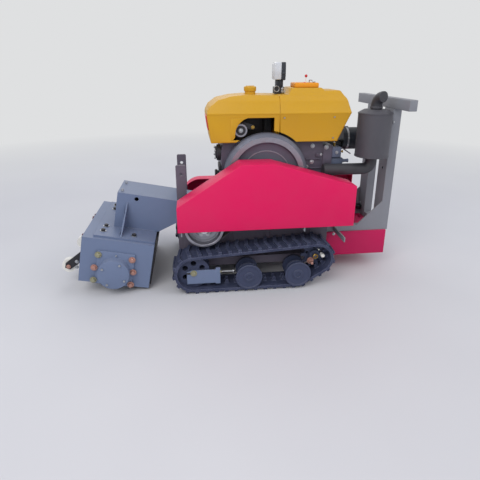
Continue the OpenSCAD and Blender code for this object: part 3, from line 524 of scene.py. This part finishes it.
# Undercarriage
def wheel_fittings():
    """Outer flanges and hubs of the rollers, and the ring and the pipe stubs beside each sprocket's axle."""
    flanges = Piece("roller_flanges", ROLLER_ENAMEL)
    rings = Piece("sprocket_rings", BRASS)
    caps = Piece("port_caps", WHITE_NYLON)
    plugs = Piece("port_plugs", COPPER)
    profile = [(0, 0), (26, 0), (26, 31), (80, 31), (82, 33), (82, 37), (80, 39), (72, 39), (69, 35),
               (33, 34), (31, 39), (29, 40), (19, 40), (17, 38), (17, 35), (0, 35)]
    for side, facing in SIDES:
        flanges.put(lathe(profile, 64), *(spot(x, side * 401, 100, facing) for x in (-91, -398)))
        rings.put(lathe([(10, 0), (17, 0), (17, 5), (14, 8), (12, 8), (10, 5), (10, 0)], 32),
                  spot(-519, side * 381, 192, facing))
        caps.put(rod(12, 34, 24, 3), spot(-563, side * 367, 200, facing))
        plugs.put(bolt(26, 20), spot(-492, side * 367, 158, facing, 15))
        plugs.put(rod(9, 30, 20, 2), spot(-492, side * 383, 158, facing))
        caps.put(rod(5, 16, 16, 2), spot(-540, side * 367, 236, facing))
    for piece in (flanges, rings, caps, plugs):
        piece.done()


def track_adjusters():
    """The screw that pushes each idler's plate forward, its end nut, and the nut on the idler's axle."""
    screws = Piece("adjuster_screws", PLAIN_STEEL)
    nuts = Piece("axle_nuts", OLIVE_STEEL)
    turns, pitch, crest, root = 19, 4, 5.2, 4.2
    thread = [(0, 0)]
    for k in range(turns):
        thread += [(crest, pitch * k), (root, pitch * k + pitch / 2)]
    thread += [(root, turns * pitch), (0, turns * pitch)]
    for side, facing in SIDES:
        screws.put(lathe(thread, 16), spot(84, side * 400, 132, BACK))
        screws.put(lathe([(0, 0), (8, 1), (10, 4), (10, 9), (8, 13), (0, 14)], 24),
                   spot(10, side * 400, 132, BACK))
        nuts.put(bolt(13, 6), spot(84, side * 400, 132, BACK, 15))
        nuts.put(bolt(24, 9), spot(246, side * 404, 130, facing, 20))
    screws.done()
    nuts.done()


def frame_bolts():
    """Upright seams of the frame's side panels, thin black sheets painted as the shade in the idlers' plate
    slots, and the panels' bolts.
    """
    seams = Piece("panel_seams", FRAME_ENAMEL)
    for side in (1, -1):
        for x in (-15, -256, -522):
            wavy = [(x, side * PANEL_FACE, z + 0.5 * (z // 6 % 2)) for z in range(140, 398, 6)]
            seams.put(tube(wavy, 3, 8))
    seams.done()
    # A thin black sheet stands for each slot in the idlers' plates: painted shade.
    slots = Piece("plate_slot_shade", BLACK_ENAMEL)
    slots.put(slab(44, 13, 0.8, 0.3), *(spot(266, side * 404, 130, facing) for side, facing in SIDES))
    slots.done()
    heads = Piece("frame_bolts", BLACK_ENAMEL)
    places = ((-171, 190), (-238, 192), (-303, 194), (-20, 250), (60, 330))
    for side, facing in SIDES:
        heads.put(bolt(12, 6), *(spot(x, side * PANEL_FACE, z, facing, x) for x, z in places))
    heads.done()


wheel_fittings()
track_adjusters()
frame_bolts()


# Right belt guard
def guard_fittings():
    """Screws along the foot of the right guard."""
    screws = Piece("guard_screws", PLAIN_STEEL)
    screws.put(screw(5), *(spot(x, -400, 355, RIGHT) for x in (180, -60, -360, -660, -940)))
    screws.done()


# Milling head
def head_bolts():
    """Bolts on the flange, the bearing plates and caps, with their plated finishes."""
    flange = Piece("flange_bolts", BLACK_ENAMEL, "head")
    pale = Piece("head_washers", PLAIN_STEEL, "head")
    olive = Piece("bearing_bolts_olive", OLIVE_STEEL, "head")
    pink = Piece("bearing_bolts_copper", COPPER, "head")
    for side, facing in SIDES:
        for u, y, turn in ((592, 165, 580), (596, 245, 584), (409, 262, 397)):
            pale.put(lathe([(0, 0), (19, 0), (19, 3), (0, 3)], 24), head_spot(u, side * y, -145))
            flange.put(bolt(22, 12, False), head_spot(u, side * y, -142, UP, turn))
        olive.put(bolt(24, 11), *(head_spot(u, side * HEAD_FACE, v, facing, u)
                                  for u, v in ((595, -254), (610, -424))))
        pink.put(bolt(24, 11), *(head_spot(u, side * HEAD_FACE, v, facing, u)
                                 for u, v in ((612, -341), (396, -263), (382, -344), (387, -430))))
        pale.put(screw(7), *(head_spot(DRUM_U + u, side * 405, DRUM_V + v, facing)
                             for u, v in circle(74, 4, math.radians(24))))
        pale.put(lathe([(0, 0), (4, 0), (4, 5), (2.5, 6), (2.5, 9), (4, 11), (0, 13)], 12),
                 head_spot(DRUM_U, side * HEAD_FACE, -246, facing))
    for piece in (flange, pale, olive, pink):
        piece.done()


def depth_screws():
    """Height screws of the depth wheels on the housing's front, with their brackets and pins."""
    posts = Piece("depth_screws", RED_OXIDE, "head")
    arms = Piece("depth_screw_brackets", BLACK_ENAMEL, "head")
    pins = Piece("depth_wheel_pins", COPPER, "head")
    zinc = Piece("depth_arm_bolts", PLAIN_STEEL, "head")
    for side, facing in SIDES:
        posts.put(rod(8, 62, 20, 1.5), head_spot(722, side * 185, -270))
        arms.put(slab(30, 40, 7, 1.5), *(head_spot(713, side * 185, v) for v in (-272, -222)))
        pins.put(lathe([(0, 0), (14, 0), (14, 3), (10, 5), (10, 9), (0, 10)], 24),
                 head_spot(788, side * 219, -429, facing))
        zinc.put(bolt(14, 7), head_spot(741, side * 219, -387, facing, 8),
                 head_spot(738, side * 219, -425, facing, 31))
    posts.put(rod(10, 54, 20, 2), head_spot(711, -67, -236))
    arms.put(slab(26, 36, 7, 1.5), head_spot(712, -67, -240))
    for piece in (posts, arms, pins, zinc):
        piece.done()


def head_plates():
    """Rubber strips behind the housing, small eyes on the arm, and the weld beads where plates meet."""
    strips = Piece("head_flaps", FLAP_RUBBER, "head")
    strips.put(slab(8, 70, 62, 1.5), *(head_spot(268, y, -190) for y in (300, -300)))
    strips.put(slab(8, 500, 46, 1.5), head_spot(269, 0, -205))
    strips.done()
    eyes = Piece("head_eyes", PLAIN_STEEL, "head")
    eyes.put(ring(4, 9, 5, 24), head_spot(524, 112, 91, LEFT), head_spot(524, -67, 91, LEFT))
    eyes.done()
    beads = Piece("head_welds", HEAD_ENAMEL, "head")
    front, arm_face, flange_top = 496, 146, -144
    for side in (1, -1):
        foot = [(front, side * y, flange_top) for y in range(arm_face, 290, 6)]
        rise = [(front, side * arm_face, v) for v in range(flange_top, -8, 6)]
        rim = [(u, side * arm_face, flange_top) for u in range(290, 500, 6)]
        for run in (foot, rise, rim):
            wavy = [(u, y, v + 0.9 * (k % 2)) for k, (u, y, v) in enumerate(run)]
            beads.put(tube(wavy, 4, 8), HEAD)
    beads.done()


head_bolts()
depth_screws()
head_plates()


# Engine
def engine_bolts():
    """Bolts on the engine's near face, its front cover and the dynamo, brass fittings and fuel pipes."""
    plain = Piece("engine_bolts", PLAIN_STEEL)
    plain.put(bolt(17, 8), *(spot(x, y, z, LEFT, turn) for x, y, z, turn in (
        (-499, ENGINE_FACE, 712, 10), (-399, ENGINE_FACE, 842, 40), (-399, ENGINE_FACE, 640, 5),
        (-532, ENGINE_FACE, 744, 20), (-620, 150, 838, 20), (-532, ENGINE_FACE, 846, 50))))
    plain.put(bolt(13, 7), spot(-690, 150, 803, LEFT, 12), spot(-588, ENGINE_FACE, 790, LEFT))
    plain.put(bolt(12, 6), *(spot(82, 100 + y, 812 + z, FORWARD) for y, z in circle(34, 4, 0.5)))
    plain.put(bolt(16, 8), spot(-70, 181, 955, LEFT))
    plain.done()
    brass = Piece("engine_brass", BRASS)
    brass.put(bolt(13, 7), spot(-146, 156, 971, LEFT, 15))
    brass.put(lathe([(0, 0), (9, 0), (9, 6), (6, 7), (6, 14), (9, 16), (9, 20), (0, 20)], 20),
              spot(-690, 95, 836, UP), spot(-720, 120, 803, BACK))
    brass.done()
    pipes = Piece("fuel_pipes", BRIGHT_STEEL)
    pipes.put(tube(bent([(-690, 95, 850), (-690, 95, 870), (-640, 60, 878), (-600, 60, 872)], 10), 3.2, 12))
    pipes.put(tube(bent([(-704, 60, 836), (-760, 60, 812), (-818, 60, 774)], 8), 4, 12))
    pipes.done()


def engine_castings():
    """Stiffening ribs, the injection pump's body, the round front cover and the oil filler."""
    ribs = Piece("crankcase_ribs", ENGINE_PAINT)
    ribs.put(slab(9, 6, 150, 2), spot(20, 152, 540, UP), spot(-360, 152, 620, UP))
    ribs.put(slab(60, 7, 9, 2), spot(8, 152, 690, UP))
    ribs.put(slab(46, 190, 10, 3), spot(52, 0, 500, FORWARD, 90))
    ribs.put(slab(34, 9, 24, 4), spot(-572, 144, 776))
    ribs.put(slab(96, 8, 10, 3), spot(-540, 144, 758), spot(-550, 144, 700))
    ribs.done()
    body = Piece("pump_body", PUMP_PAINT)
    body.put(slab(116, 66, 64, 5), spot(-681, 104, 700))
    body.put(lathe([(0, 0), (13, 0), (13, 10), (10, 12), (10, 34), (12, 36), (12, 42), (0, 42)], 32),
             spot(-738, 120, 743, BACK))
    body.put(lathe([(0, 0), (20, 0), (20, 30), (16, 34), (16, 44), (0, 46)], 32), spot(-690, 105, 760))
    body.done()
    cover = Piece("engine_cover", BLACK_ENAMEL)
    profile = [(0, 0), (50, 0), (50, 22), (48, 24), (40, 24), (38, 26), (38, 31), (36, 32), (0, 32)]
    cover.put(lathe(profile, 48), spot(50, 100, 812, FORWARD))
    cover.put(slab(32, 113, 14, 2), spot(50, 100, 723, FORWARD))
    cover.done()
    filler = Piece("oil_filler", KNOB_PLASTIC)
    filler.put(lathe([(0, 0), (16, 0), (16, 9), (24, 11), (24, 24), (20, 28), (0, 28)], 24),
               spot(50, -70, 640, FORWARD))
    filler.done()


engine_bolts()
engine_castings()


def pulley_fittings():
    """The flywheel with its turned rim, nut and bolts, thin bright rings painted on its face as highlights,
    and the rings and bolts of the front pulley.
    """
    hub = Piece("flywheel_nut", PLAIN_STEEL, "flywheel")
    hub.put(bolt(46, 18), spot(FLYWHEEL_X, PULLEY_FACE, FLYWHEEL_Z, LEFT))
    hub.put(bolt(14, 7), *(spot(FLYWHEEL_X + x, PULLEY_FACE, FLYWHEEL_Z + z, LEFT, 20)
                           for x, z in circle(52, 6)))
    hub.done()
    wheel = Piece("flywheel_turned", FLYWHEEL_IRON, "flywheel")
    profile = [(0, 0), (252, 0), (262, 10), (262, 46), (257, 54), (243, 64), (240, 66), (208, 66), (205, 63),
               (202, 44), (196, 42), (100, 40), (80, 42), (80, 200), (0, 200)]
    wheel.put(lathe(profile, 128), spot(FLYWHEEL_X, 160, FLYWHEEL_Z, LEFT))
    wheel.done("flywheel", sharp=24)
    # Thin rings of a brighter iron laid on the flywheel's rim and web: painted highlights.
    face = Piece("flywheel_painted_highlights", PULLEY_IRON, "flywheel")
    face.put(ring(209, 239, 0.8, 128), spot(FLYWHEEL_X, 226, FLYWHEEL_Z, LEFT))
    face.put(ring(150, 156, 2, 96), spot(FLYWHEEL_X, 201.4, FLYWHEEL_Z, LEFT))
    face.done()
    rims = Piece("front_pulley_rings", PULLEY_IRON, "countershaft")
    for inner, outer, height in ((90, 95, 4), (64, 72, 8)):
        rims.put(ring(inner, outer, height, 96), spot(SHAFT_X, 312, SHAFT_Z, LEFT))
    rims.done()
    cross = Piece("front_pulley_bolts", PLAIN_STEEL, "countershaft")
    cross.put(bolt(14, 7), *(spot(SHAFT_X + x, PULLEY_FACE, SHAFT_Z + z, LEFT) for x, z in circle(40, 6)))
    cross.done()


pulley_fittings()


# Hood, lamp and filler
def hood_fittings():
    """Fuel cap, plain strip on the hood's front, float and latch on the radiator's lid, and screws."""
    cap = Piece("fuel_cap_turned", MUSTARD_ENAMEL)
    profile = [(0, 0), (33, 0), (33, 18), (37, 20), (38, 24), (38, 42), (35, 46), (27, 47), (24, 45), (0, 45)]
    cap.put(lathe(profile, 48), spot(-142, 50, 1158))
    cap.put(slab(56, 12, 8, 3), spot(-142, 50, 1201, UP, 20))
    cap.done("fuel_cap")
    strip = Piece("hood_front_strip", RED_PLASTIC)
    strip.put(slab(84, 150, 7, 2), spot(127, 105, 1002, (1, 0, -0.135), 0))
    float_rod = Piece("float_rod", WHITE_NYLON)
    float_rod.put(rod(3.4, 38, 12, 1), spot(-493, 45, LID_TOP))
    float_rod.done()
    ball = Piece("float_ball", RED_PLASTIC)
    ball.put(lathe([(0, 0), (5, 1), (8.5, 5), (9, 9), (7.5, 14), (4, 17), (0, 18)], 24), spot(-493, 45, 1256))
    ball.put(lathe([(0, 0), (7, 0), (6, 3), (0, 4)], 16), spot(-475, 80, LID_TOP))
    ball.done()
    strip.done()
    latch = Piece("lid_latch", PLAIN_STEEL)
    latch.put(slab(14, 26, 6, 1.5), spot(-545, 45, LID_TOP))
    bow = [(-525, 10, LID_TOP), (-525, 10, 1240), (-525, 80, 1240), (-525, 80, LID_TOP)]
    latch.put(tube(bent(bow, 6), 3.4, 12))
    latch.done()
    screws = Piece("hood_screws", PLAIN_STEEL)
    screws.put(screw(5), *(spot(x, y, z, LEFT) for y, z in ((HOOD_FACE, 1030), (HOOD_FACE - 2, 905))
                           for x in (-330, -640)))
    screws.done()


def lamp_fittings():
    """Lens, black body, bracket and wire loop of the work lamp."""
    lens = Piece("lamp_lens", LENS_PLASTIC)
    lens.put(slab(44, 90, 103, 7), spot(-317, 0, 1242))
    for y in range(-36, 40, 9):
        lens.put(slab(3, 3, 90, 1), spot(-295.6, y, 1249))
    lens.done("work_lamp")
    shell = Piece("lamp_shell", BLACK_PLASTIC)
    shell.put(slab(28, 90, 106, 5), spot(-351, 0, 1239))
    shell.put(slab(14, 60, 70, 4), spot(-362, 0, 1257))
    shell.put(slab(44, 50, 42, 5), spot(LAMP_X, 0, LAMP_FOOT))
    shell.put(slab(10, 8, 66, 2), *(spot(LAMP_X, y, LAMP_FOOT) for y in (30, -30)))
    shell.put(lathe([(0, 0), (9, 0), (9, 5), (6, 7), (0, 8)], 24), spot(-350, 45, 1280, LEFT))
    shell.done()
    loop = Piece("lamp_ring", PLAIN_STEEL)
    hoop = [(17 + 2.5 * math.cos(a), 2.5 * math.sin(a)) for a in (k * math.tau / 10 for k in range(11))]
    loop.put(lathe(hoop, 40), spot(-312, 31, 1188, LEFT))
    loop.put(bolt(11, 5), *(spot(-350, 30, z, LEFT) for z in (1188, 1172)))
    loop.done()


def fan_window():
    """Curved corner of the window in the hood, and what shows through it: the ribbed fan cowl and the
    dynamo's strap and pulley."""
    corner = Piece("hood_window_corner", MUSTARD_ENAMEL)
    arch = [(-8, 900), (-20, 900), (-32, 916), (-37, 962), (-50, 988), (-68, 1008), (-87, 1022), (-110, 1031),
            (-8, 1031)]
    corner.put(plate([(x, -z) for x, z in arch], 4, 0.8), spot(0, 196.6, 0, LEFT))
    corner.done()
    cowl = Piece("fan_cowl", BLACK_ENAMEL)
    foot = 884.3
    cowl.put(slab(258, 5, 150, 1), spot(-140, 34, foot))
    cowl.put(slab(40, 58, 146, 3), spot(-250, 66, foot))
    for x in range(-266, -228, 8):
        cowl.put(slab(3, 14, 144, 0.8), spot(x, 102, foot))
    cowl.done()
    strap = Piece("dynamo_strap", BLACK_ENAMEL)
    link = [(-52, 905), (-30, 930), (-40, 962), (-62, 994), (-90, 1003), (-150, 985), (-160, 968),
            (-150, 957), (-112, 960), (-104, 930)]
    strap.put(plate([(x, -z) for x, z in link], 6, 1), spot(0, 150, 0, LEFT))
    strap.done()
    pulley = Piece("dynamo_pulley", PULLEY_IRON)
    profile = [(0, 0), (38, 0), (40, 3), (33, 12), (40, 21), (38, 24), (30, 24), (27, 20), (14, 19), (12, 24),
               (0, 24)]
    pulley.put(lathe(profile, 48), spot(-70, 157, 955, LEFT))
    pulley.done()


hood_fittings()
lamp_fittings()
fan_window()


# Exhaust, air cleaner and rear
def exhaust_fittings():
    """Rolled rims and bracket of the muffler, clamps on its pipes, and the air cleaner's clips."""
    rims = Piece("muffler_rims", HEAT_PAINT)
    rims.put(ring(100, 105, 6, 64), *(spot(MUFFLER_X, MUFFLER_Y, z) for z in (786, 1047)))
    rims.put(slab(26, 22, 20, 2), spot(-1003, MUFFLER_Y, 984))
    rims.put(ring(33.2, 38, 12, 40), spot(MUFFLER_X, MUFFLER_Y, 1080))
    rims.done()
    clamps = Piece("exhaust_clamps", PLAIN_STEEL)
    clamps.put(ring(25, 29, 12, 32), spot(-666, 146, 683, LEFT))
    clamps.put(bolt(13, 7), spot(-1016, MUFFLER_Y, 994, BACK), spot(-666, 150, 716))
    clamps.put(bolt(15, 7), *(spot(x, ENGINE_FACE, 650, LEFT) for x in (-666, -627)))
    clamps.done()
    rings = Piece("air_cleaner_clips", PLAIN_STEEL)
    rings.put(ring(72, 74, 12, 64), spot(-800, 0, 868, FORWARD))
    rings.put(slab(10, 30, 7, 1.5), spot(-794, 72, 868, LEFT), spot(-794, 0, 941, UP, 90))
    rings.done()


def rear_fittings():
    """Small bolts on the rear posts and the tank, and the tank's cap."""
    plain = Piece("rear_bolts", PLAIN_STEEL)
    plain.put(bolt(12, 6), *(spot(-1016, y, z, FORWARD, 15) for y in (150, -150) for z in (360, 1040)))
    plain.put(bolt(12, 6), spot(-695, 200, 262, LEFT))
    plain.done()
    cap = Piece("tank_cap", KNOB_PLASTIC)
    cap.put(lathe([(0, 0), (26, 0), (26, 8), (32, 10), (32, 26), (28, 30), (0, 30)], 32),
            spot(-1000, -150, 315))
    cap.done()


exhaust_fittings()
rear_fittings()
guard_fittings()


# Floor and light
BACKDROP = "#dfe0e1"


def stage_floor():
    """A pale matt floor that keeps the machine's shadow, and fades into the backdrop further off."""
    material, tree = new_material("pale_floor")
    place = add(tree, "TexCoord").outputs["Object"]
    cloud = add(tree, "TexNoise", {"Vector": place, "Scale": 0.9, "Detail": 3})
    colour = blended(tree, cloud.outputs["Fac"], linear("#c9c9cd"), linear("#d3d3d6"))
    matt = add(tree, "BsdfPrincipled", {"Base Color": colour, "Roughness": 0.85})
    far = add(tree, "VectorMath", {0: place}, operation="LENGTH")
    away = ramp(tree, far.outputs["Value"], 2.5, 6.5)
    ray = add(tree, "LightPath")
    seen = add(tree, "Math", {0: away, 1: ray.outputs["Is Camera Ray"]}, operation="MULTIPLY")
    pale = add(tree, "Emission", {"Color": linear(BACKDROP), "Strength": 1.0})
    close_material(tree, add(tree, "MixShader", {0: seen.outputs[0], 1: matt.outputs[0], 2: pale.outputs[0]}))
    bm = bmesh.new()
    bmesh.ops.create_grid(bm, x_segments=1, y_segments=1, size=30)
    mesh = bpy.data.meshes.new("floor")
    bm.to_mesh(mesh)
    bm.free()
    mesh.materials.append(material)
    floor = bpy.data.objects.new("floor", mesh)
    bpy.context.collection.objects.link(floor)


def studio_light():
    """A pale room and three broad soft lamps, so that a colour renders about as it is written."""
    world = bpy.data.worlds.new("pale_room")
    world.use_nodes = True
    tree = world.node_tree
    tree.nodes.clear()
    ray = add(tree, "LightPath")
    shown = ray.outputs["Is Camera Ray"]
    for kind in ("Is Glossy Ray", "Is Transmission Ray"):
        shown = add(tree, "Math", {0: shown, 1: ray.outputs[kind]}, operation="MAXIMUM").outputs[0]
    seen = add(tree, "Background", {"Color": linear(BACKDROP), "Strength": 1.0})
    room = add(tree, "Background", {"Color": linear("#ebeff9"), "Strength": 0.74})
    both = add(tree, "MixShader", {0: shown, 1: room.outputs[0], 2: seen.outputs[0]})
    add(tree, "OutputWorld", {"Surface": both.outputs[0]})
    bpy.context.scene.world = world
    for name, place, power in (("key", (2.4, 4.2, 4.8), 175), ("fill", (-4.5, 2.0, 3.2), 62),
                               ("back", (0.5, -4.0, 4.0), 50)):
        lamp = bpy.data.lights.new(name, "AREA")
        lamp.size = 4.0
        lamp.energy = power
        lamp.color = (1.0, 0.98, 0.95)
        holder = bpy.data.objects.new(name, lamp)
        holder.location = place
        holder.rotation_euler = (Vector((0, 0, 0.5)) - Vector(place)).to_track_quat("-Z", "Y").to_euler()
        bpy.context.collection.objects.link(holder)


stage_floor()
studio_light()
